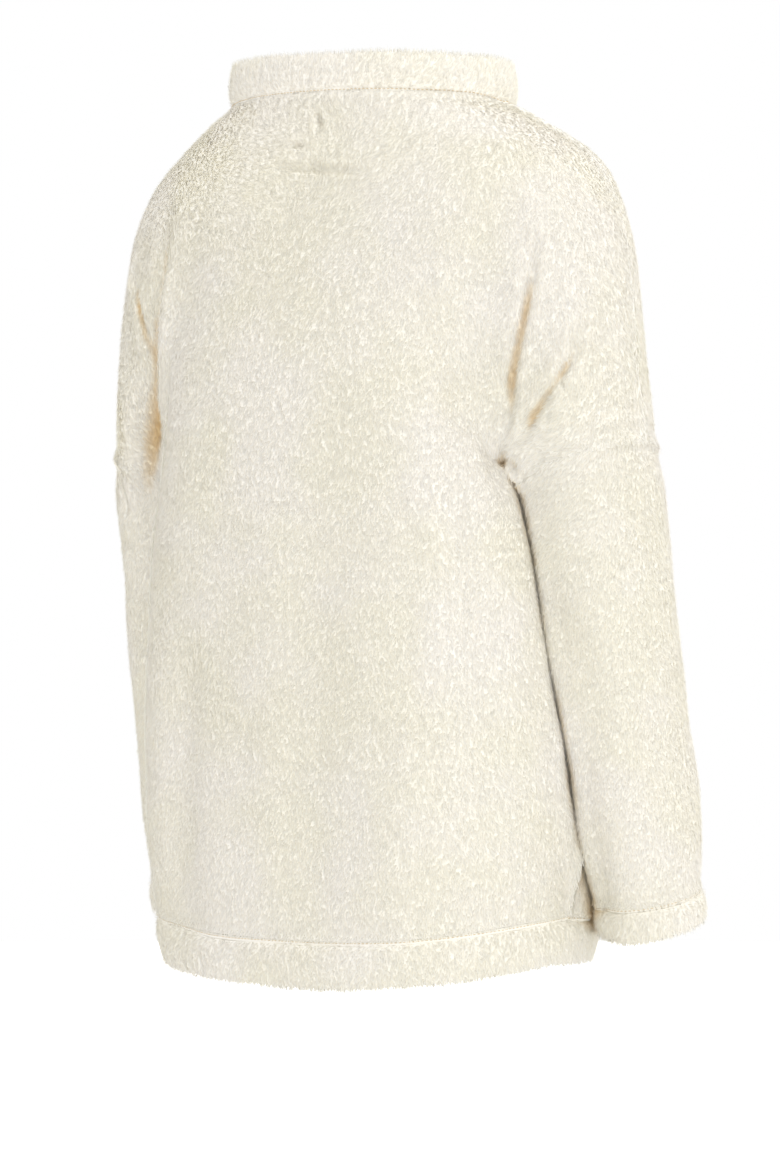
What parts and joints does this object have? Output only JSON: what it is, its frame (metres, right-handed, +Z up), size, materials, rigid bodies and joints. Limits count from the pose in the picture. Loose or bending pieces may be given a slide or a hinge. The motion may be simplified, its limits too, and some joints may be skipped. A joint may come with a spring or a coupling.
{
  "type": "funnel-neck fleece top",
  "caption": "Loose long-sleeved pullover in deep-pile fleece with dropped shoulders, a stand-up funnel collar, and banded hem and cuffs, hollow as worn.",
  "frame": {"origin": "midway between the shoulders, on the line that carries the garment when it is worn", "axes": "+Z up, the front faces -Y, +X is the wearer's left"},
  "size_m": [0.5136, 0.2714, 0.712],
  "materials": {
    "fleece": "cream high-pile fleece, matt, nap brushed downwards",
    "fleece_band": "the same cream fleece turned double in a band"
  },
  "bodies": {
    "root": {"back_panel": "fleece", "front_panel": "fleece", "sleeve_left": "fleece", "sleeve_right": "fleece", "cuff_left": "fleece_band", "cuff_right": "fleece_band", "hem_band": "fleece_band", "neck_band": "fleece_band"}
  },
  "joints": []
}
